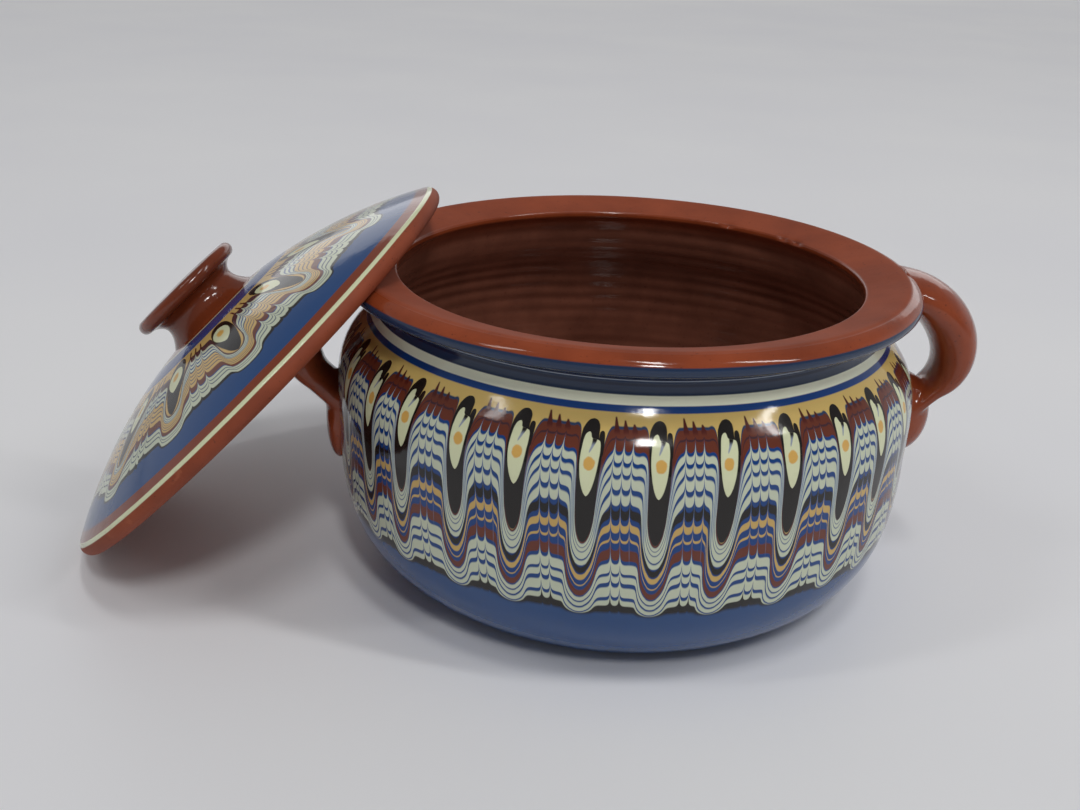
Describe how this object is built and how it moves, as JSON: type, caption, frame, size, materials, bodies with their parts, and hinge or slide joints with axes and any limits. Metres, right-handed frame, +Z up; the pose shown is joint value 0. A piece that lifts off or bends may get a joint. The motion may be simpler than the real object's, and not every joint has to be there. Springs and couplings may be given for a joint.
{
  "type": "cooking pot",
  "caption": "Round-bellied glazed earthenware cooking pot with loop handles at its sides and a loose domed lid with a spool knob, leaning on the rim.",
  "frame": {"origin": "middle of the pot's flat base, on the surface it stands on", "axes": "+Z up along the pot's axis, +X through the right handle, -X through the left handle and towards the leaning lid"},
  "size_m": [0.3779, 0.2397, 0.1548],
  "materials": {
    "slip_decorated_glaze": "gloss",
    "brown_glaze": "gloss"
  },
  "bodies": {
    "pot": {"pot_body": "slip_decorated_glaze", "left_handle": "brown_glaze", "right_handle": "brown_glaze"},
    "lid": {"lid": "slip_decorated_glaze", "lid_knob": "brown_glaze"}
  },
  "joints": [
    {"name": "lid_lift", "type": "slide", "parent": "pot", "child": "lid", "axis": [0, 0, 1], "range_m": [0, 0.2]}
  ]
}
